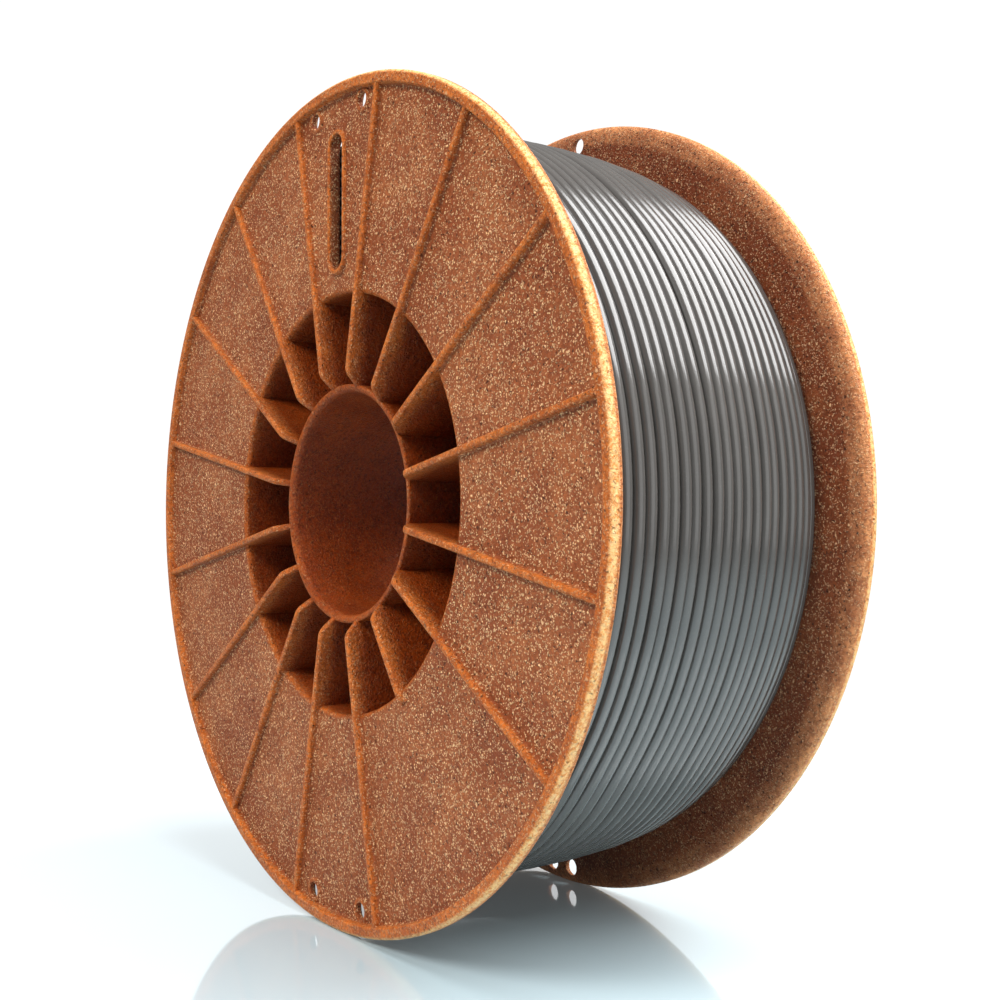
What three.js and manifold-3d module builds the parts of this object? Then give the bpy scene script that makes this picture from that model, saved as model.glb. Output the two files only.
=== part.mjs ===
// A 200 mm spool of 2.85 mm filament: two moulded halves, alike but for their rim holes, that snap
// together at mid-width, and the strand wound between their flanges, one ring of material for each
// wound layer.
//
// Millimetres, +Z up. The origin is the middle of the bore at mid-width. The spool's axis lies along Y,
// the front flange faces -Y, and the spool stands on its two rims.
// Angles run clockwise from the top, seen from the front.
import * as THREE from 'three';
import { mergeVertices } from 'three/addons/utils/BufferGeometryUtils.js';
import Module from 'manifold-3d';

const wasm = await Module();
wasm.setup();

// Overall size
const RIM_RADIUS = 100;
const HALF_WIDTH = 37.3;
const GAP = 0.3;                    // clearance between neighbouring pieces

// Flange
const FLANGE_INNER_FACE = 33.4;     // distances from mid-width
const FLANGE_OUTER_FACE = 35.4;
const LIP_INNER_RADIUS = 97;
const LIP_LAND_FROM = 97.4;         // flat ring on the lip that the spool lies on
const LIP_LAND_TO = 99.2;
const LIP_EDGE_ROUND = 1.0;
const LIP_CURVE_FROM = 94.3;        // the inner face bends outwards from here to the rim
const LIP_CURVE_DROP = 1.1;
const LIP_CURVE_STEPS = 4;

// Barrel, hub tube and the fins between them
const BARREL_OUTER_RADIUS = 51.8;
const BARREL_INNER_RADIUS = 49.8;
const BORE_RADIUS = 26.5;
const HUB_OUTER_RADIUS = 28.5;
const HUB_END = 33.8;
const HUB_MOUTH_RADIUS = 27.7;
const HUB_MOUTH_DEPTH = 1.8;
const FIN_COUNT = 16;
const FIN_THICKNESS = 1.7;
const FIN_TOP = 37.1;               // distance of the fins' and ribs' tops from mid-width
const FIN_FIRST_ANGLE = -11.25;
const SHORT_FIN = 7;                // this fin has no rib on the flange
const ROOT = 0.8;                   // how deep a joined shape reaches into its neighbour

// Sight slot, which shows how much filament is left
const SLOT_WIDTH = 5.9;
const SLOT_FROM = 55.7;
const SLOT_TO = 88.1;
const SLOT_BORDER = 1.1;
const SLOT_BORDER_TOP = 36.6;

// Rim holes for the strand's loose end
const FRONT_RIM_HOLES = { centre: 94.4, radius: 1.8, angles: [-6.7, 6.7, 173.3, 186.7] };
const REAR_RIM_HOLES = { centre: 95.6, radius: 2.1, angles: [-3.6, 3.6, 177.6, 182.4] };
const RIM_HOLE_SIDES = 12;
const COLLAR_WIDTH = 1.1;           // raised edge round a rim hole
const COLLAR_TOP = 35.9;

// Snap tongues on each half and the windows that they click into
const TONGUE_ANGLES = [45, 135];
const TONGUE_WIDTH = 10;
const TONGUE_INNER = 47.5;
const TONGUE_OUTER = 49.1;
const TONGUE_REACH = 6.6;           // past mid-width, into the other half
const TONGUE_ROOT_LENGTH = 9;
const CATCH_FROM = 3.6;
const CATCH_TO = 6.2;
const CATCH_OUTER = 50.7;
const WINDOW_CLEARANCE = 0.4;

// Filament, wound in layers that pack a little closer towards the flanges, so that the winding is crowned
const WOUND_RADIUS = 90.7;
const LAYER_COUNT = 15;
const CROWN_DROP = 2.2;             // each part of the outermost layer's drop from its middle to its ends
const CROWN_STEPS = [0, 0.5, 0.82, 1];
const LAYER_PITCH = (WOUND_RADIUS - BARREL_OUTER_RADIUS) / LAYER_COUNT;

// Facets round the axis
const HALF_SEGMENTS = 64;
const LAYER_SEGMENTS = 36;

const spoolPlastic = new THREE.MeshStandardMaterial({ color: '#b0622f', roughness: 0.5, metalness: 0.0 });
const filamentPlastic = new THREE.MeshStandardMaterial({ color: '#8a8886', roughness: 0.3, metalness: 0.0 });

const degrees = (angle) => THREE.MathUtils.degToRad(angle);

/** Turns a closed three.js geometry into a solid that can be cut and joined. */
function solid(geometry) {
  geometry.deleteAttribute('normal');
  geometry.deleteAttribute('uv');
  const merged = mergeVertices(geometry, 1e-4);
  return new wasm.Manifold(new wasm.Mesh({
    numProp: 3,
    vertProperties: new Float32Array(merged.attributes.position.array),
    triVerts: new Uint32Array(merged.index.array),
  }));
}

/** Gives a solid back as a geometry. */
function geometryOf(shape) {
  const mesh = shape.getMesh();
  const geometry = new THREE.BufferGeometry();
  geometry.setAttribute('position', new THREE.BufferAttribute(new Float32Array(mesh.vertProperties), 3));
  geometry.setIndex(new THREE.BufferAttribute(new Uint32Array(mesh.triVerts), 1));
  geometry.computeVertexNormals();
  return geometry;
}

/**
 * Revolves an anticlockwise outline of [radius, y] points about the Y axis. The flats of the ring, not
 * its corners, lie at the given radii, and one flat is at the very bottom for the spool to stand on.
 */
function revolve(outline, segments) {
  const halfFacet = Math.PI / segments;
  const points = outline.map(([radius, y]) => new THREE.Vector2(radius / Math.cos(halfFacet), y));
  points.push(points[0].clone());
  return new THREE.LatheGeometry(points, segments, halfFacet, 2 * Math.PI);
}

/** A plate with an outline of [x, z] in the plane of the flange, between two distances on the -Y side. */
function flangePlate(shape, from, to, curveSegments) {
  const geometry = new THREE.ExtrudeGeometry(shape, { depth: to - from, bevelEnabled: false, curveSegments });
  geometry.rotateX(Math.PI / 2);
  geometry.translate(0, -from, 0);
  return geometry;
}

/** The flange with its lip, and the half of the barrel that carries the winding. */
function flangeAndBarrel() {
  const lipCurve = [];
  for (let step = 0; step <= LIP_CURVE_STEPS; step += 1) {
    const turn = (step / LIP_CURVE_STEPS) * (Math.PI / 2);
    const radius = LIP_CURVE_FROM + (RIM_RADIUS - LIP_CURVE_FROM) * Math.cos(turn);
    const y = -FLANGE_INNER_FACE - LIP_CURVE_DROP * (1 - Math.sin(turn));
    lipCurve.push([radius, y]);
  }
  return revolve([
    [BARREL_INNER_RADIUS, -GAP / 2],
    [BARREL_INNER_RADIUS, -FLANGE_OUTER_FACE],
    [LIP_INNER_RADIUS, -FLANGE_OUTER_FACE],
    [LIP_LAND_FROM, -HALF_WIDTH],
    [LIP_LAND_TO, -HALF_WIDTH],
    [RIM_RADIUS, -HALF_WIDTH + LIP_EDGE_ROUND],
    ...lipCurve,
    [BARREL_OUTER_RADIUS, -FLANGE_INNER_FACE],
    [BARREL_OUTER_RADIUS, -GAP / 2],
  ], HALF_SEGMENTS);
}

/** The tube round the bore, with a rounded mouth. */
function hubTube() {
  const mouthMiddle = (BORE_RADIUS + HUB_MOUTH_RADIUS) / 2 - 0.2;
  return revolve([
    [BORE_RADIUS, -GAP / 2],
    [BORE_RADIUS, -HUB_END + HUB_MOUTH_DEPTH],
    [mouthMiddle, -HUB_END + HUB_MOUTH_DEPTH / 3],
    [HUB_MOUTH_RADIUS, -HUB_END],
    [HUB_OUTER_RADIUS, -HUB_END],
    [HUB_OUTER_RADIUS, -GAP / 2],
  ], HALF_SEGMENTS);
}

/** One fin from the hub tube to the barrel, carried on over the flange as a rib unless it is short. */
function fin(index) {
  const hubRoot = HUB_OUTER_RADIUS - ROOT;
  const ribEnd = LIP_INNER_RADIUS + ROOT;
  const ribBase = -FLANGE_OUTER_FACE + ROOT;
  const outline = [
    [hubRoot, -GAP / 2],
    [hubRoot, -HUB_END],
    [hubRoot + 2.1, -FIN_TOP + 1.5],
    [hubRoot + 4.6, -FIN_TOP + 0.4],
    [hubRoot + 6.4, -FIN_TOP],
  ];
  if (index === SHORT_FIN) {
    outline.push([BARREL_INNER_RADIUS + ROOT, -FIN_TOP], [BARREL_OUTER_RADIUS, ribBase]);
  } else {
    outline.push([ribEnd - 1.4, -FIN_TOP], [ribEnd, -FIN_TOP + 0.4], [ribEnd, ribBase]);
  }
  outline.push([BARREL_INNER_RADIUS + ROOT, ribBase], [BARREL_INNER_RADIUS + ROOT, -GAP / 2]);
  const shape = new THREE.Shape(outline.map(([radius, y]) => new THREE.Vector2(radius, y)));
  const geometry = new THREE.ExtrudeGeometry(shape, { depth: FIN_THICKNESS, bevelEnabled: false });
  geometry.translate(0, 0, -FIN_THICKNESS / 2);
  geometry.rotateY(degrees(FIN_FIRST_ANGLE + (360 / FIN_COUNT) * index - 90));
  return geometry;
}

/** A slot outline with round ends, upright above the bore. */
function slotShape(width, from, to) {
  const round = width / 2;
  const shape = new THREE.Shape();
  shape.absarc(0, to - round, round, 0, Math.PI, false);
  shape.absarc(0, from + round, round, Math.PI, 2 * Math.PI, false);
  return shape;
}

/** A round pin along Y over a rim hole, whose middle is at the given radius and angle. */
function rimPin(centre, angle, radius, from, to) {
  const geometry = new THREE.CylinderGeometry(radius, radius, to - from, RIM_HOLE_SIDES);
  const turn = degrees(angle);
  geometry.translate(centre * Math.sin(turn), -(from + to) / 2, centre * Math.cos(turn));
  return geometry;
}

/** A block inside the barrel at one angle, given by its width, its radii and its ends along Y. */
function barrelBlock(angle, width, inner, outer, fromY, toY) {
  const geometry = new THREE.BoxGeometry(width, toY - fromY, outer - inner);
  geometry.translate(0, (fromY + toY) / 2, (inner + outer) / 2);
  geometry.rotateY(degrees(angle));
  return geometry;
}

/** One half of the spool with its set of rim holes, as it lies at the front. */
function spoolHalf(rimHoles) {
  let half = solid(flangeAndBarrel()).add(solid(hubTube()));
  for (let index = 0; index < FIN_COUNT; index += 1) {
    half = half.add(solid(fin(index)));
  }

  const borderShape = slotShape(SLOT_WIDTH + 2 * SLOT_BORDER, SLOT_FROM - SLOT_BORDER, SLOT_TO + SLOT_BORDER);
  half = half.add(solid(flangePlate(borderShape, FLANGE_OUTER_FACE - ROOT, SLOT_BORDER_TOP, 6)));
  const slot = slotShape(SLOT_WIDTH, SLOT_FROM, SLOT_TO);
  half = half.subtract(solid(flangePlate(slot, FLANGE_INNER_FACE - ROOT, HALF_WIDTH + ROOT, 6)));

  const { centre, radius, angles } = rimHoles;
  for (const angle of angles) {
    const collar = rimPin(centre, angle, radius + COLLAR_WIDTH, FLANGE_OUTER_FACE - ROOT, COLLAR_TOP);
    half = half.add(solid(collar));
  }
  for (const angle of angles) {
    const hole = rimPin(centre, angle, radius, FLANGE_INNER_FACE - ROOT, HALF_WIDTH + ROOT);
    half = half.subtract(solid(hole));
  }

  const tongueRootOuter = BARREL_INNER_RADIUS + ROOT;
  const windowWidth = TONGUE_WIDTH + 2 * WINDOW_CLEARANCE;
  const windowOuter = BARREL_OUTER_RADIUS + ROOT;
  for (const angle of TONGUE_ANGLES) {
    const windowFrom = -CATCH_TO - WINDOW_CLEARANCE;
    const windowTo = -CATCH_FROM + WINDOW_CLEARANCE;
    half = half.add(solid(
      barrelBlock(angle, TONGUE_WIDTH, TONGUE_INNER, tongueRootOuter, -TONGUE_ROOT_LENGTH, -GAP / 2)));
    half = half.add(solid(
      barrelBlock(angle, TONGUE_WIDTH, TONGUE_INNER, TONGUE_OUTER, -TONGUE_ROOT_LENGTH / 2, TONGUE_REACH)));
    half = half.add(solid(
      barrelBlock(angle, TONGUE_WIDTH, TONGUE_OUTER - ROOT, CATCH_OUTER, CATCH_FROM, CATCH_TO)));
    half = half.subtract(solid(
      barrelBlock(-angle, windowWidth, TONGUE_OUTER, windowOuter, windowFrom, windowTo)));
  }
  return geometryOf(half);
}

/** Outer radius of the winding up to a number of layers, at a part of the way from the middle to an end. */
function woundRadius(layers, part) {
  const drop = CROWN_DROP * (part ** 2 + part ** 8);
  return BARREL_OUTER_RADIUS + LAYER_PITCH * layers - drop * (layers / LAYER_COUNT);
}

/** One wound layer of the strand, as the ring of space that its turns fill. */
function filamentLayer(index) {
  const side = FLANGE_INNER_FACE - GAP;
  const parts = [...CROWN_STEPS.slice(1).map((part) => -part).reverse(), ...CROWN_STEPS];
  const outside = parts.map((part) => [woundRadius(index + 1, Math.abs(part)), part * side]);
  const inside = parts.map((part) => [woundRadius(index, Math.abs(part)) + GAP, part * side]);
  return revolve([...outside, ...inside.reverse()], LAYER_SEGMENTS);
}

const spool = new THREE.Group();

function addPiece(name, geometry, material) {
  const mesh = new THREE.Mesh(geometry, material.clone());
  mesh.name = name;
  spool.add(mesh);
  return mesh;
}

addPiece('front_half', spoolHalf(FRONT_RIM_HOLES), spoolPlastic);
addPiece('rear_half', spoolHalf(REAR_RIM_HOLES), spoolPlastic).rotation.z = Math.PI;

for (let index = 0; index < LAYER_COUNT; index += 1) {
  const name = `filament_layer_${String(index + 1).padStart(2, '0')}`;
  addPiece(name, filamentLayer(index), filamentPlastic);
}

export default spool;
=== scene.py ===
"""Looks of the filament spool: two moulded halves and the wound strand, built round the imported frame.

Lengths are in millimetres until a mesh is made, which turns them into metres. The axis is Y, the front
flange faces -Y, and angles run clockwise from the top, seen from the front. A depth is a distance from
mid-width towards a half's own flange.
"""

import math

import bmesh
import bpy
import numpy as np
from mathutils import Euler, Matrix, Vector


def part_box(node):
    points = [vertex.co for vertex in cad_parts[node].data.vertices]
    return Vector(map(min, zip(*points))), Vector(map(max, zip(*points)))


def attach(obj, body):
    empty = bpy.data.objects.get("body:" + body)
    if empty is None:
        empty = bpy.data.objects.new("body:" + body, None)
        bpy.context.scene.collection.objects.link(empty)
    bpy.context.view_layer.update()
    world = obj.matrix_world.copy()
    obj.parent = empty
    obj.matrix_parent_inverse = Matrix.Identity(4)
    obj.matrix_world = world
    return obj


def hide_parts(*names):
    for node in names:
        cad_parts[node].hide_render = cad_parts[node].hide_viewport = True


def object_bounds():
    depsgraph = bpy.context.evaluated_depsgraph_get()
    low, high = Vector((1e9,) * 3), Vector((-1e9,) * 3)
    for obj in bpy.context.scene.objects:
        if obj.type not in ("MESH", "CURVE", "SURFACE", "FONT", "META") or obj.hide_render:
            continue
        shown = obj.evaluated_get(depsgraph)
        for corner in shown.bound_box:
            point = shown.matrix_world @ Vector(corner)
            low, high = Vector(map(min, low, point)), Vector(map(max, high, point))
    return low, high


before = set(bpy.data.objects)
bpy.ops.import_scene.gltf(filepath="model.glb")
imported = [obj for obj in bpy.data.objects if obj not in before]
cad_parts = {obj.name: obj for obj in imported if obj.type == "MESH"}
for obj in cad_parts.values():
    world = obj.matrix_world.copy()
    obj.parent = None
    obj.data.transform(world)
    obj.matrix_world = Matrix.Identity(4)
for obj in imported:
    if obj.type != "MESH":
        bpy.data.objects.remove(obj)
cad_low, cad_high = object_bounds()
MM = 0.001
ALONG = np.array([0, 1, 0])

# Overall size, from the frame
RIM = round(cad_high.z / MM, 2)
HALF_WIDTH = cad_high.y / MM
LAYER_NODES = sorted(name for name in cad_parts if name.startswith("filament_layer_"))

# Flange
PLATE_INNER = HALF_WIDTH - 3.9          # depth of the flange's inner face
PLATE_OUTER = HALF_WIDTH - 1.9
LIP_INNER = 97.0
LIP_CURVE_FROM = 94.3                   # the inner face bends outwards from here
LIP_CURVE_DROP = 1.4
SEAM = 0.02                             # half the hairline between the two halves
FLANGE_SEGMENTS = 288

# Barrel and hub tube
BARREL_OUTER = 51.8
BARREL_INNER = 49.8
BORE = 26.5
HUB_OUTER = 28.5
HUB_END = HALF_WIDTH - 3.5
HUB_SEGMENTS = 160

# Fins, which go on over the flange as ribs
FIN_COUNT = 16
FIN_FIRST = -11.25
FIN_TOP = HALF_WIDTH - 0.2
FIN_HALF = 0.82                         # half the thickness near the top
FIN_ROUNDING = 0.62
FIN_DRAFT = ((0.22, SEAM), (0.16, 9.0), (0.1, 18.0), (0.05, 27.0), (0.0, 32.5))   # extra half thickness, depth
WELL_EDGE = BARREL_INNER + 1.0          # a fin is a rib from here outwards
CHAMFER_END = 31.3                      # radius at which the 45 degree edge at the hub would reach the top
CHAMFER_BLEND = 1.2
SHORT_FIN = 7                           # has no rib on the flange
SHORT_FIN_FALL = (50.4, 53.2)

# Sight slot and rim holes
SLOT_WIDTH = 5.9
SLOT_FROM = 55.7
SLOT_TO = 88.1
FRONT_HOLES = {"centre": 94.4, "radius": 1.8, "angles": (-6.7, 6.7, 173.3, 186.7)}
REAR_HOLES = {"centre": 95.9, "radius": 2.15, "angles": (-3.9, 3.9, 177.4, 182.0)}
HOLE_WALL = 1.3                         # straight wall of a hole, before it widens
COLLAR_HEIGHT = 0.5

# Snap tongues on each half and the windows that they click into
TONGUE_ANGLES = (45, 135)
TONGUE_WIDTH = 10.0
TONGUE_INNER = 47.5
TONGUE_OUTER = 49.1
TONGUE_REACH = 6.6                      # past mid-width, into the other half
TONGUE_ROOT = 9.0
CATCH_FROM = 3.6
CATCH_TO = 6.2
CATCH_OUTER = 50.7
WINDOW_CLEARANCE = 0.4
SINK = 0.8                              # how far joined shapes reach into each other

# Filament
STRAND = 2.85
RING_GAP = 0.3                          # between a CAD ring and the flange
SIDE_GAP = 0.12                         # between an end turn and the flange
CROWN_DROP = 2.2                        # each part of the outermost layer's drop from its middle to its ends
STEP_FROM = 0.93                        # part of a turn after which the strand crosses to its next place
STRAND_START = 150.0                    # angle of the strand's ends
SHOWN_LAYERS = 3                        # outer layers that can be seen, which are finer and less even
WANDER = 0.13
PARTING_Y = -1.45                       # two turns near the middle stand apart over the top of the winding
PARTING_WIDTH = 1.9
PARTING_REACH = 7.0
PARTING_END = 80.0


# ---------------------------------------------------------------- meshes

def new_object(name, vertices, faces):
    """A mesh object from millimetre vertices and faces."""
    mesh = bpy.data.meshes.new(name)
    mesh.from_pydata(np.asarray(vertices, float) * MM, [], faces)
    mesh.update()
    piece = bpy.data.objects.new(name, mesh)
    bpy.context.scene.collection.objects.link(piece)
    return piece


def make_outward(piece):
    """Turns every face of a closed mesh outwards."""
    work = bmesh.new()
    work.from_mesh(piece.data)
    bmesh.ops.recalc_face_normals(work, faces=work.faces)
    if work.calc_volume(signed=True) < 0:
        bmesh.ops.reverse_faces(work, faces=work.faces)
    work.to_mesh(piece.data)
    work.free()


def skin(name, rings, closed=False):
    """A closed surface over rings of points, each ring round a section. It is capped unless closed."""
    rings = np.asarray(rings, float)
    count, sides = rings.shape[:2]
    index = np.arange(count * sides).reshape(count, sides)
    ahead = np.roll(index, -1, 0) if closed else index[1:]
    here = index if closed else index[:-1]
    quads = np.stack([here, np.roll(here, -1, 1), np.roll(ahead, -1, 1), ahead], -1).reshape(-1, 4)
    faces = quads.tolist()
    if not closed:
        faces.append(index[0][::-1].tolist())
        faces.append(index[-1].tolist())
    piece = new_object(name, rings.reshape(-1, 3), faces)
    make_outward(piece)
    return piece


def arc(centre_r, centre_d, radius_r, radius_d, start, end, steps):
    """Points of an elliptic arc in a (radius, depth) outline, angles in degrees."""
    turns = np.radians(np.linspace(start, end, steps + 1))
    return [(centre_r + radius_r * math.cos(t), centre_d + radius_d * math.sin(t)) for t in turns]


def lathe(name, outline, segments):
    """Turns a closed (radius, depth) outline about the Y axis, for the front half."""
    outline = np.asarray(outline, float)
    turns = np.linspace(0, 2 * math.pi, segments, endpoint=False)
    r, d = outline[:, 0], outline[:, 1]
    rings = [np.stack([r * math.sin(t), -d, r * math.cos(t)], -1) for t in turns]
    return skin(name, rings, closed=True)


def directions(angle):
    """The outward and the clockwise direction at an angle in degrees."""
    turn = math.radians(angle)
    return np.array([math.sin(turn), 0, math.cos(turn)]), np.array([math.cos(turn), 0, -math.sin(turn)])


def combine(base, other, operation):
    """Boolean on base with other, which is removed."""
    cut = base.modifiers.new("cut", "BOOLEAN")
    cut.operation = operation
    cut.object = other
    cut.solver = "MANIFOLD"
    depsgraph = bpy.context.evaluated_depsgraph_get()
    made = bpy.data.meshes.new_from_object(base.evaluated_get(depsgraph))
    old = base.data
    base.modifiers.clear()
    base.data = made
    bpy.data.meshes.remove(old)
    bpy.data.objects.remove(other)


def smooth(piece, angle):
    """Smooth shading that keeps edges sharper than an angle, weighted so that flats stay flat."""
    mesh = piece.data
    mesh.shade_smooth()
    mesh.set_sharp_from_angle(angle=math.radians(angle))
    weight = piece.modifiers.new("weight", "WEIGHTED_NORMAL")
    weight.keep_sharp = True
    weight.weight = 80


# ---------------------------------------------------------------- one moulded half

def flange_and_barrel():
    """Barrel wall, well edge, plate, lip and rim in one outline."""
    outline = [(BARREL_INNER, SEAM), (BARREL_INNER, 18.0)]
    outline += arc(BARREL_INNER + 1.1, PLATE_OUTER - 1.1, 1.1, 1.1, 180, 90, 6)
    outline += [(60, PLATE_OUTER), (70, PLATE_OUTER), (80, PLATE_OUTER), (90, PLATE_OUTER)]
    outline += [(94.9, PLATE_OUTER), (95.2, PLATE_OUTER + 0.1), (95.5, PLATE_OUTER + 0.1)]
    outline += [(95.8, PLATE_OUTER + 0.02)]
    outline += arc(LIP_INNER - 0.7, PLATE_OUTER + 0.7, 0.7, 0.7, -90, 0, 4)
    outline += arc(LIP_INNER + 0.65, HALF_WIDTH - 0.5, 0.5, 0.5, 180, 90, 4)
    outline += arc(RIM - 0.95, HALF_WIDTH - 0.95, 0.95, 0.95, 90, 0, 6)
    outline += arc(RIM - 0.25, PLATE_INNER + LIP_CURVE_DROP + 0.1, 0.25, 0.25, 0, -60, 3)
    outline += arc(LIP_CURVE_FROM, PLATE_INNER + LIP_CURVE_DROP, RIM - LIP_CURVE_FROM - 0.15,
                   LIP_CURVE_DROP, -8, -90, 12)
    outline += [(88, PLATE_INNER), (80, PLATE_INNER), (65, PLATE_INNER)]
    outline += arc(BARREL_OUTER + 0.5, PLATE_INNER - 0.5, 0.5, 0.5, 90, 180, 3)
    outline += [(BARREL_OUTER, 16.0), (BARREL_OUTER, SEAM)]
    return lathe("flange", outline, FLANGE_SEGMENTS)


def hub_tube():
    """Tube round the bore with a softly rounded mouth."""
    outline = [(BORE, SEAM), (BORE, 16.0)]
    outline += arc(BORE + 1.35, HUB_END - 1.9, 1.35, 1.9, 180, 90, 7)
    outline += arc(HUB_OUTER - 0.45, HUB_END - 0.45, 0.45, 0.45, 90, 0, 4)
    outline += [(HUB_OUTER, 16.0), (HUB_OUTER, SEAM)]
    return lathe("hub", outline, HUB_SEGMENTS)


def fin_top(radius, is_short):
    """Depth of a fin's top edge: a 45 degree chamfer at the hub that rounds into the level top."""
    chamfer = radius + FIN_TOP - CHAMFER_END
    blend = max(CHAMFER_BLEND - abs(FIN_TOP - chamfer), 0) / CHAMFER_BLEND
    depth = min(FIN_TOP, chamfer) - blend * blend * CHAMFER_BLEND / 4
    if is_short:
        fall_from, fall_to = SHORT_FIN_FALL
        part = min(max((radius - fall_from) / (fall_to - fall_from), 0), 1)
        depth -= (FIN_TOP - PLATE_OUTER + 0.4) * (1 - math.sqrt(1 - part ** 2))
    return depth


def fin_section(radius, is_short):
    """Half section of a fin at a radius, as (half thickness, depth) from its foot to the middle of its top."""
    top = fin_top(radius, is_short)
    if radius < WELL_EDGE:
        points = [(FIN_HALF + extra, depth) for extra, depth in FIN_DRAFT]
    else:
        flare = 0.03 + 0.55 * min(max((radius - 50.9) / 1.2, 0), 1)
        flare += 0.25 * max(radius - LIP_INNER + 1.2, 0)
        points = [(FIN_HALF + flare, PLATE_OUTER - SINK), (FIN_HALF + flare, PLATE_OUTER - 0.02)]
        points += [(FIN_HALF + flare * (1 - math.sin(a)), PLATE_OUTER + flare * (1 - math.cos(a)))
                   for a in np.radians((30, 60, 90))]
    crown = min(FIN_ROUNDING, max(top - points[-1][1], 0.06))
    points += [(FIN_HALF - FIN_ROUNDING * (1 - math.cos(a)), top - crown * (1 - math.sin(a)))
               for a in np.radians((0, 22, 45, 68, 90))]
    return points


def fin(index):
    """One fin from the hub to the barrel, carried on over the flange as a rib unless it is the short one."""
    is_short = index == SHORT_FIN
    stations = [*np.linspace(HUB_OUTER - 0.7, 34.5, 16), 37, 40, 44, 48, 50, WELL_EDGE - 0.05]
    stations += [WELL_EDGE + 0.05, 51.3, 51.8, 52.3]
    if is_short:
        stations += [52.7, 53.0, 53.15]
    else:
        stations += [55, 60, 66, 72, 78, 84, 90, 94, 95.8, 96.3, 96.8, LIP_INNER + 0.5]
    out, across = directions(FIN_FIRST + 360 / FIN_COUNT * index)
    rings = []
    for radius in stations:
        half = fin_section(radius, is_short)
        section = half + [(-t, d) for t, d in reversed(half)]
        rings.append([radius * out + t * across - d * ALONG for t, d in section])
    return skin("fin", rings)


def stadium(offset, depth, steps=14):
    """The slot's outline grown by an offset, at a depth."""
    half = SLOT_WIDTH / 2
    radius = half + offset
    return [(radius * math.cos(t), -depth, centre + radius * math.sin(t))
            for centre, start in ((SLOT_TO - half, 0), (SLOT_FROM + half, math.pi))
            for t in np.linspace(start, start + math.pi, steps)]


def circle(centre, angle, radius, depth, steps=28):
    """A ring round a rim hole's axis, at a depth."""
    turn = math.radians(angle)
    cx, cz = centre * math.sin(turn), centre * math.cos(turn)
    return [(cx + radius * math.cos(t), -depth, cz + radius * math.sin(t))
            for t in np.linspace(0, 2 * math.pi, steps, endpoint=False)]


def collared_hole(half, centre, radius, angle):
    """A rim hole with a low raised edge round its outer end, widened from the inside."""
    top = PLATE_OUTER + COLLAR_HEIGHT
    collar = [(radius + 1.7, PLATE_OUTER - 0.6), (radius + 1.7, PLATE_OUTER - 0.01),
              (radius + 1.35, PLATE_OUTER + 0.1), (radius + 1.05, top - 0.12), (radius + 0.7, top)]
    combine(half, skin("collar", [circle(centre, angle, *step) for step in collar]), "UNION")
    bore = [(radius, HALF_WIDTH + 1), (radius, top + 0.3), (radius + 0.5, top + 0.02),
            (radius + 0.18, top - 0.1), (radius, top - 0.45), (radius, top - HOLE_WALL),
            (radius + 1.5, top - HOLE_WALL - 0.9), (radius + 1.7, PLATE_INNER - 0.3)]
    combine(half, skin("hole", [circle(centre, angle, *step) for step in bore]), "DIFFERENCE")


def countersunk_hole(half, centre, radius, angle):
    """A rim hole that widens towards its outer end and bites into the lip."""
    bore = [(radius + 3.2, HALF_WIDTH + 1), (radius + 3.2, HALF_WIDTH), (radius + 1.0, PLATE_OUTER + 0.05),
            (radius, PLATE_INNER + HOLE_WALL), (radius, PLATE_INNER + 0.25),
            (radius + 0.12, PLATE_INNER + 0.06), (radius + 0.6, PLATE_INNER - 0.3)]
    combine(half, skin("hole", [circle(centre, angle, *step) for step in bore]), "DIFFERENCE")


def barrel_block(angle, width, inner, outer, from_depth, to_depth):
    """A block inside the barrel at one angle."""
    out, across = directions(angle)
    corners = [(-width / 2, inner), (width / 2, inner), (width / 2, outer), (-width / 2, outer)]
    return skin("block", [[t * across + r * out - depth * ALONG for t, r in corners]
                          for depth in (from_depth, to_depth)])


def add_tongues(half):
    """The snap tongues with their catches, and the windows for the other half's catches."""
    for angle in TONGUE_ANGLES:
        root = barrel_block(angle, TONGUE_WIDTH, TONGUE_INNER, BARREL_INNER + SINK, SEAM, TONGUE_ROOT)
        tongue = barrel_block(angle, TONGUE_WIDTH, TONGUE_INNER, TONGUE_OUTER, -TONGUE_REACH, TONGUE_ROOT / 2)
        catch = barrel_block(angle, TONGUE_WIDTH, TONGUE_OUTER - SINK, CATCH_OUTER, -CATCH_TO, -CATCH_FROM)
        for block in (root, tongue, catch):
            combine(half, block, "UNION")
        window = barrel_block(-angle, TONGUE_WIDTH + 2 * WINDOW_CLEARANCE, TONGUE_OUTER, BARREL_OUTER + SINK,
                              CATCH_FROM - WINDOW_CLEARANCE, CATCH_TO + WINDOW_CLEARANCE)
        combine(half, window, "DIFFERENCE")


def add_sight_slot(half):
    """The slot through the flange with its raised border."""
    top = HALF_WIDTH - 0.7
    border = [(1.6, PLATE_OUTER - 0.6), (1.6, PLATE_OUTER - 0.01), (1.3, PLATE_OUTER + 0.12),
              (1.15, PLATE_OUTER + 0.4), (1.1, top - 0.4), (0.95, top - 0.12), (0.6, top)]
    combine(half, skin("border", [stadium(*step) for step in border]), "UNION")
    slot = [(0.9, top + 0.5), (0.42, top + 0.02), (0.15, top - 0.12), (0.0, top - 0.42),
            (0.0, PLATE_INNER + 0.3), (0.1, PLATE_INNER + 0.08), (0.5, PLATE_INNER - 0.3)]
    combine(half, skin("slot", [stadium(*step) for step in slot]), "DIFFERENCE")


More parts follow.
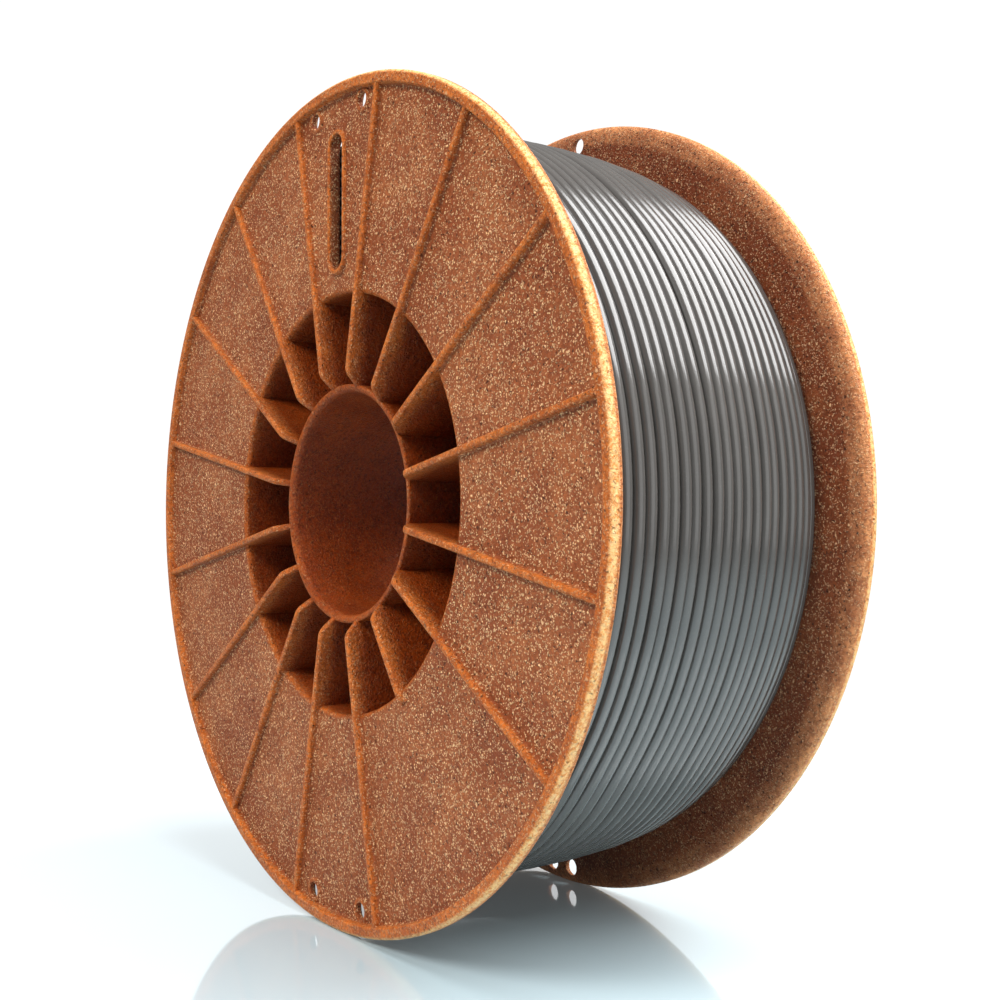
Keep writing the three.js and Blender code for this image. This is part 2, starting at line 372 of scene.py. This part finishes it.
def half_of_spool(name, holes, make_hole):
    """One half of the spool, as it lies at the front."""
    half = flange_and_barrel()
    half.name = name
    combine(half, hub_tube(), "UNION")
    for index in range(FIN_COUNT):
        combine(half, fin(index), "UNION")
    add_sight_slot(half)
    for angle in holes["angles"]:
        make_hole(half, holes["centre"], holes["radius"], angle)
    add_tongues(half)
    return half


# ---------------------------------------------------------------- the winding

def eased(part):
    """A part from 0 to 1 with a soft start and end."""
    return part * part * (3 - 2 * part)


def smooth_noise(s, rng, spacing):
    """Smooth random values of unit spread along s, with knots at a spacing."""
    knots = np.arange(0, s[-1] + 2 * spacing, spacing)
    values = rng.normal(0, 1, len(knots))
    at = s / spacing
    low = np.floor(at).astype(int)
    part = eased(at - low)
    return values[low] * (1 - part) + values[low + 1] * part


def strand_path(half_width, turns, steps_per_turn, sense):
    """Turn count, angle and Y of a layer's centre line: level runs with a short step to the next turn."""
    s = np.arange(turns * steps_per_turn + 1) / steps_per_turn
    whole = np.floor(s)
    cross = eased(np.clip((s - whole - STEP_FROM) / (1 - STEP_FROM), 0, 1))
    pitch = (2 * half_width - STRAND) / (turns - 1)
    y = np.clip(whole + cross, 0, turns - 1) * pitch - half_width + STRAND / 2
    return s, s * 2 * math.pi + math.radians(STRAND_START), y * sense


def parted(angle, y):
    """How far the turns stand apart at the parting, which opens towards the top and closes lower down."""
    turn = (np.degrees(angle) + 180) % 360 - 180
    open_here = np.clip((PARTING_END - turn) / 45, 0, 1) * np.clip((turn + 70) / 40, 0, 1)
    side = np.where(y > PARTING_Y, 1.0, -1.0)
    return side * open_here * PARTING_WIDTH / 2 * np.exp(-np.abs(y - PARTING_Y) / PARTING_REACH)


def wound_layer(name, node, layer, is_shown):
    """The strand of one layer, inside the room of its CAD ring. Each layer winds back over the one below."""
    _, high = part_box(node)
    half_width = high.y / MM + RING_GAP - SIDE_GAP
    turns = int((2 * high.y / MM + RING_GAP) / STRAND)
    steps_per_turn, sides = (160, 16) if is_shown else (72, 8)
    s, angle, y = strand_path(half_width, turns, steps_per_turn, 1 if layer % 2 else -1)
    part = np.abs(y) / half_width
    centre = high.z / MM - STRAND / 2 - CROWN_DROP * (part ** 2 + part ** 8) * layer / len(LAYER_NODES)
    if is_shown:
        rng = np.random.default_rng(layer)
        inside = np.clip((half_width - STRAND / 2 - np.abs(y)) / STRAND, 0, 1)
        y = y + inside * WANDER * (smooth_noise(s, rng, 0.19) + 0.8 * smooth_noise(s, rng, 0.9))
        y = y + inside * parted(angle, y)
        centre = centre - 0.5 * WANDER * (1 + smooth_noise(s, rng, 0.13).clip(-1, 1))

    out = np.stack([np.sin(angle), np.zeros_like(angle), np.cos(angle)], -1)[:, None, :]
    points = out * centre[:, None, None] + y[:, None, None] * ALONG
    round_section = np.linspace(0, 2 * math.pi, sides, endpoint=False)[None, :, None]
    rings = points + STRAND / 2 * (np.cos(round_section) * out + np.sin(round_section) * ALONG)
    return skin(name, rings)


# ---------------------------------------------------------------- materials

class Nodes:
    """A short way to write shader node trees. Sizes are in mm."""

    def __init__(self, name):
        self.material = bpy.data.materials.new(name)
        self.material.use_nodes = True
        self.tree = self.material.node_tree
        self.shader = self.tree.nodes["Principled BSDF"]
        self.position = self.tree.nodes.new("ShaderNodeTexCoord").outputs["Object"]

    def _put(self, socket, value):
        if isinstance(value, bpy.types.NodeSocket):
            self.tree.links.new(value, socket)
        else:
            socket.default_value = value

    def math(self, operation, a, b=0.0):
        node = self.tree.nodes.new("ShaderNodeMath")
        node.operation = operation
        for socket, value in zip(node.inputs, (a, b)):
            self._put(socket, value)
        return node.outputs[0]

    def times(self, a, b):
        return self.math("MULTIPLY", a, b)

    def distance(self, a, b):
        """Distance from the axis on which both coordinates are 0."""
        return self.math("SQRT", self.math("ADD", self.times(a, a), self.times(b, b)))

    def ramp(self, value, low, high, to_low=0.0, to_high=1.0):
        """A smooth change between two values of something."""
        node = self.tree.nodes.new("ShaderNodeMapRange")
        node.interpolation_type = "SMOOTHSTEP"
        for key, given in (("Value", value), ("From Min", low), ("From Max", high),
                           ("To Min", to_low), ("To Max", to_high)):
            self._put(node.inputs[key], given)
        return node.outputs[0]

    def rise(self, length, low, high):
        """1 where a length is above high, 0 where it is below low."""
        return self.ramp(length, low * MM, high * MM)

    def fall(self, length, low, high):
        """0 where a length is above high, 1 where it is below low."""
        return self.ramp(length, low * MM, high * MM, 1.0, 0.0)

    def noise(self, size, detail, rough, place=None, output="Fac"):
        node = self.tree.nodes.new("ShaderNodeTexNoise")
        node.inputs["Scale"].default_value = 1 / (size * MM)
        node.inputs["Detail"].default_value = detail
        node.inputs["Roughness"].default_value = rough
        self._put(node.inputs["Vector"], place or self.position)
        return node.outputs[output]

    def warped(self, size, amount):
        """The position pushed about by an amount, by a noise of a size."""
        push = self.tree.nodes.new("ShaderNodeVectorMath")
        push.operation = "MULTIPLY_ADD"
        noise = self.noise(size, 1.0, 0.5, output="Color")
        for socket, value in zip(push.inputs, (noise, (2 * amount * MM,) * 3, self.position)):
            self._put(socket, value)
        return push.outputs[0]

    def cells(self, size, place=None):
        """Cells of a size: the distance to a cell's point, and the cell's three random values."""
        node = self.tree.nodes.new("ShaderNodeTexVoronoi")
        node.inputs["Scale"].default_value = 1 / (size * MM)
        self._put(node.inputs["Vector"], place or self.position)
        split = self.tree.nodes.new("ShaderNodeSeparateColor")
        self._put(split.inputs[0], node.outputs["Color"])
        return node.outputs["Distance"], split.outputs

    def spots(self, distance, full, gone, random, limit):
        """Soft spots at the points of the cells whose random value is above a limit."""
        return self.times(self.ramp(distance, full, gone, 1.0, 0.0), self.math("GREATER_THAN", random, limit))

    def xyz(self):
        node = self.tree.nodes.new("ShaderNodeSeparateXYZ")
        self._put(node.inputs[0], self.position)
        return node.outputs

    def mix(self, factor, a, b, blend="MIX"):
        node = self.tree.nodes.new("ShaderNodeMix")
        node.data_type = "RGBA"
        node.blend_type = blend
        self._put(node.inputs["Factor"], factor)
        for socket, value in ((node.inputs[6], a), (node.inputs[7], b)):
            self._put(socket, value if isinstance(value, bpy.types.NodeSocket) else (*value, 1.0))
        return node.outputs[2]

    def bump(self, height, distance, strength=1.0, normal=None):
        node = self.tree.nodes.new("ShaderNodeBump")
        node.inputs["Strength"].default_value = strength
        node.inputs["Distance"].default_value = distance * MM
        self._put(node.inputs["Height"], height)
        if normal is not None:
            self._put(node.inputs["Normal"], normal)
        return node.outputs["Normal"]

    def to(self, socket, value):
        self._put(self.shader.inputs[socket], value)


def srgb(red, green, blue):
    """Linear colour of an sRGB one, 0 to 255."""
    def linear(value):
        value /= 255
        return value / 12.92 if value <= 0.04045 else ((value + 0.055) / 1.055) ** 2.4
    return linear(red), linear(green), linear(blue)


PLATE_COLOURS = srgb(146, 74, 38), srgb(170, 96, 54)
PLATE_PATCH = srgb(130, 64, 38)
RAISED_COLOURS = srgb(208, 112, 42), srgb(180, 90, 32)
# Lighter golden tone of the lip's inner curve: partly the plastic's own, partly a painted highlight
LIP_CURVE_TONE_AND_HIGHLIGHT = srgb(212, 140, 88), srgb(180, 110, 68)
# Lighter, yellower outer edge of the rim: partly the plastic's own tone, partly a painted highlight
RIM_EDGE_TONE_AND_HIGHLIGHT = srgb(222, 138, 64), srgb(248, 200, 134)
MOTTLE = srgb(104, 48, 20)
FLECK = srgb(255, 206, 152)
PIT = srgb(62, 30, 18)
SPECK = srgb(52, 24, 14)
# Multiplies the colour deep in the well: painted shade
WELL_PAINTED_SHADE = srgb(190, 152, 130)
# Multiplies the colour on the flanges' inner faces: painted shade
INNER_FACE_PAINTED_SHADE = srgb(206, 198, 200)
STRAND_COLOURS = srgb(74, 71, 68), srgb(80, 77, 74)
STRAND_GRIT = srgb(96, 93, 91)
FLOOR_COLOURS = (0.43, 0.54, 0.58), (0.46, 0.57, 0.61)
FLOOR_GLOW = (0.86, 0.97, 1.0, 1.0)


def spool_material():
    """Copper-brown recycled plastic, full of bright flecks, glossier and more orange where it is raised, with
    painted highlights on the lip's inner curve and the rim's outer edge, and painted shade deep in the well
    and on the flanges' inner faces.
    """
    n = Nodes("spool_plastic")
    x, y, z = n.xyz()
    radius = n.distance(x, z)
    depth = n.math("ABSOLUTE", y)
    cloud = n.noise(34, 4, 0.6)
    patch = n.noise(9, 3, 0.6)
    crinkled = n.warped(0.9, 0.55)
    mottle = n.noise(0.9, 3, 0.7, crinkled)

    # Where it is: ribs and collars, the well inside the barrel, the rim, the lip's inner curve, its outer edge
    raised = n.rise(depth, PLATE_OUTER + 0.15, PLATE_OUTER + 0.9)
    in_well = n.fall(radius, BARREL_INNER + 0.3, BARREL_INNER + 1.6)
    rim = n.rise(radius, LIP_INNER + 0.4, RIM - 1.0)
    plain = n.math("MAXIMUM", n.math("MAXIMUM", raised, in_well), rim)
    # The lip's inner curve, which gets a lighter tone that is partly a painted highlight
    lip_curve_tone_and_highlight = n.times(n.rise(radius, LIP_CURVE_FROM, LIP_CURVE_FROM + 2),
                     n.fall(depth, PLATE_OUTER - 0.6, PLATE_OUTER - 0.3))
    # The rim's outer edge, strongest on its outer corner: partly a painted highlight
    rim_edge_tone_and_highlight = n.times(n.rise(radius, RIM - 0.9, RIM - 0.1),
                   n.ramp(depth, (PLATE_OUTER - 0.3) * MM, (PLATE_OUTER + 0.6) * MM, 0.12, 1.0))
    # Painted shade: the colour darkens deeper down in the well, over the bore, the hub tube and the fins
    painted_well_shade = n.times(in_well, n.fall(depth, FIN_TOP - 5.5, FIN_TOP + 0.2))
    # Painted shade: the flanges' inner faces, towards the winding, are darker
    painted_inner_face_shade = n.times(n.fall(depth, PLATE_INNER + 0.1, PLATE_INNER + 0.9),
                         n.rise(radius, BARREL_OUTER, BARREL_OUTER + 1))

    base = n.mix(n.ramp(cloud, 0.38, 0.62), *PLATE_COLOURS)
    base = n.mix(n.ramp(patch, 0.42, 0.7, 0.0, 0.5), base, PLATE_PATCH)
    base = n.mix(plain, base, n.mix(n.ramp(patch, 0.35, 0.7), *RAISED_COLOURS))
    # Lighter golden lip curve: partly the plastic's tone, partly a painted highlight
    base = n.mix(lip_curve_tone_and_highlight, base, n.mix(n.ramp(patch, 0.35, 0.65), *LIP_CURVE_TONE_AND_HIGHLIGHT))
    base = n.mix(n.ramp(mottle, 0.36, 0.6, 0.55, 0.0), base, MOTTLE)
    # Lighter rim edge: partly the plastic's tone, partly a painted highlight
    base = n.mix(rim_edge_tone_and_highlight, base, n.mix(n.ramp(mottle, 0.35, 0.6), *RIM_EDGE_TONE_AND_HIGHLIGHT))

    # Bright flecks of two sizes, pits, and a few larger dark specks
    large_distance, large_random = n.cells(0.68, crinkled)
    small_distance, small_random = n.cells(0.45, crinkled)
    pit_distance, pit_random = n.cells(1.2, crinkled)
    speck_distance, speck_random = n.cells(2.6)
    rarity = n.ramp(cloud, 0.3, 0.7, 0.62, 0.3)
    large_flecks = n.times(n.spots(large_distance, 0.2, 0.44, large_random[0], rarity), large_random[1])
    small_flecks = n.times(n.spots(small_distance, 0.22, 0.5, small_random[0], 0.55), 0.7)
    flecks = n.math("MAXIMUM", large_flecks, small_flecks)
    pits = n.spots(pit_distance, 0.12, 0.3, pit_random[0], 0.35)
    specks = n.spots(speck_distance, 0.06, 0.13, speck_random[1], 0.55)
    strength = n.ramp(plain, 0.0, 1.0, 1.0, 0.55)
    base = n.mix(n.times(pits, n.times(strength, 0.8)), base, PIT)
    base = n.mix(n.times(flecks, strength), base, FLECK)
    base = n.mix(n.times(specks, 0.8), base, SPECK)

    # Painted shade: darker deep in the well
    base = n.mix(painted_well_shade, base, n.mix(1.0, base, WELL_PAINTED_SHADE, "MULTIPLY"))
    # Painted shade: darker on the flanges' inner faces
    base = n.mix(painted_inner_face_shade, base, n.mix(1.0, base, INNER_FACE_PAINTED_SHADE, "MULTIPLY"))

    n.to("Base Color", base)
    n.to("Roughness", n.math("SUBTRACT", n.ramp(plain, 0, 1, 0.56, 0.4), n.times(flecks, 0.2)))
    n.to("Specular IOR Level", 0.3)
    n.to("Subsurface Weight", 0.08)
    n.to("Subsurface Radius", (1.0, 0.4, 0.15))
    n.to("Subsurface Scale", 2 * MM)

    grain = n.bump(n.noise(0.6, 2, 0.65, crinkled), 0.5)
    grain = n.bump(n.math("SUBTRACT", flecks, pits), 0.16, 1.0, grain)
    n.to("Normal", n.bump(n.noise(14, 2, 0.5), 0.25, 0.35, grain))
    return n.material


def filament_material():
    """Glossy mid-grey strand with faint grit and small changes of gloss."""
    n = Nodes("filament")
    grit = n.noise(0.45, 2, 0.6)
    base = n.mix(n.ramp(n.noise(20, 3, 0.6), 0.35, 0.65), *STRAND_COLOURS)
    n.to("Base Color", n.mix(n.ramp(grit, 0.55, 0.8, 0.0, 0.35), base, STRAND_GRIT))
    n.to("Roughness", n.math("ADD", 0.12, n.times(grit, 0.08)))
    n.to("IOR", 1.8)
    n.to("Normal", n.bump(grit, 0.02, 0.35))
    return n.material


def stage_material():
    """Glossy pale floor that fades out into the white surroundings."""
    n = Nodes("stage_floor")
    x, y, z = n.xyz()
    n.to("Alpha", n.fall(n.distance(x, y), 120, 600))
    n.to("Base Color", n.mix(n.ramp(n.noise(300, 2, 0.5), 0.3, 0.7), *FLOOR_COLOURS))
    n.to("Roughness", 0.06)
    n.to("IOR", 1.9)
    n.to("Emission Color", FLOOR_GLOW)
    n.to("Emission Strength", 0.04)
    return n.material


# ---------------------------------------------------------------- build

def dress(piece, node, material):
    """Gives a piece its material, and puts it in a CAD node's place on the spool."""
    piece.data.materials.clear()
    piece.data.materials.append(material)
    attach(piece, "root")
    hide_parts(node)


spool_plastic = spool_material()
filament_plastic = filament_material()

front = half_of_spool("spool_half_front", FRONT_HOLES, collared_hole)
rear = half_of_spool("spool_half_rear", REAR_HOLES, countersunk_hole)
rear.data.transform(Matrix.Rotation(math.pi, 4, "Z"))
for piece, node in ((front, "front_half"), (rear, "rear_half")):
    smooth(piece, 42)
    dress(piece, node, spool_plastic)

for number, node in enumerate(LAYER_NODES, start=1):
    is_shown = number > len(LAYER_NODES) - SHOWN_LAYERS
    piece = wound_layer(f"strand_layer_{number:02d}", node, number, is_shown)
    piece.data.shade_smooth()
    dress(piece, node, filament_plastic)

# ---------------------------------------------------------------- stage, light, camera

FLOOR_REACH = 4000
ROOM_LIGHT = 0.3                        # light from the white room, against 1 for plain white
ROOM_TO_CAMERA = 1.05
CAMERA_PLACE = (0.27594, -0.19309, -0.00547)
CAMERA_UP = 1.141                       # degrees above level
CAMERA_TURN = 53.311
FOCAL_LENGTH = 47.77

floor_corners = [(x * FLOOR_REACH, y * FLOOR_REACH, -RIM) for x, y in ((-1, -1), (1, -1), (1, 1), (-1, 1))]
floor = new_object("stage_floor", floor_corners, [(0, 1, 2, 3)])
floor.data.materials.append(stage_material())

world = bpy.data.worlds.new("studio")
bpy.context.scene.world = world
world.use_nodes = True
backdrop = world.node_tree.nodes["Background"]
backdrop.inputs["Color"].default_value = (1, 1, 1, 1)
rays = world.node_tree.nodes.new("ShaderNodeLightPath")
level = world.node_tree.nodes.new("ShaderNodeMapRange")
level.inputs["To Min"].default_value = ROOM_LIGHT
level.inputs["To Max"].default_value = ROOM_TO_CAMERA
world.node_tree.links.new(rays.outputs["Is Camera Ray"], level.inputs["Value"])
world.node_tree.links.new(level.outputs[0], backdrop.inputs["Strength"])


def soft_box(name, place, size_x, size_y, power, aim=(0, 0, 0)):
    """A rectangular area light at a place in metres that faces a point."""
    light = bpy.data.lights.new(name, "AREA")
    light.shape = "RECTANGLE"
    light.size, light.size_y = size_x, size_y
    light.energy = power
    lamp = bpy.data.objects.new(name, light)
    lamp.location = place
    lamp.rotation_euler = (Vector(aim) - Vector(place)).to_track_quat("-Z", "Y").to_euler()
    bpy.context.scene.collection.objects.link(lamp)
    return lamp


# The overhead light's left edge is where the bright stripes on the strands begin
soft_box("key_overhead", (0.76, 0.45, 1.0), 1.4, 1.5, 48, aim=(0.76, 0.45, 0))
soft_box("side_right", (1.2, 0.1, 0.2), 1.2, 0.9, 3)
fill_left = soft_box("fill_left", (-0.65, -0.6, 0.3), 0.9, 0.9, 1.4)
fill_front = soft_box("fill_front", (0.1, -0.9, 0.8), 0.5, 0.5, 12.5)
fill_left.visible_glossy = False
fill_front.visible_glossy = False

# Shows only in reflections: it gives the floor its mirror image of the front flange
backdrop_card = soft_box("backdrop_card", (-1.2, 0.9, 0.27), 1.6, 0.74, 4.6, aim=(0, 0, 0.27))
backdrop_card.visible_diffuse = False
backdrop_card.visible_camera = False

camera_data = bpy.data.cameras.new("camera")
camera_data.lens = FOCAL_LENGTH
camera_data.sensor_width = 36
camera = bpy.data.objects.new("camera", camera_data)
camera.location = CAMERA_PLACE
camera.rotation_euler = Euler((math.radians(90 + CAMERA_UP), 0, math.radians(CAMERA_TURN)))
bpy.context.scene.collection.objects.link(camera)
bpy.context.scene.camera = camera
bpy.context.scene.view_settings.view_transform = "Standard"
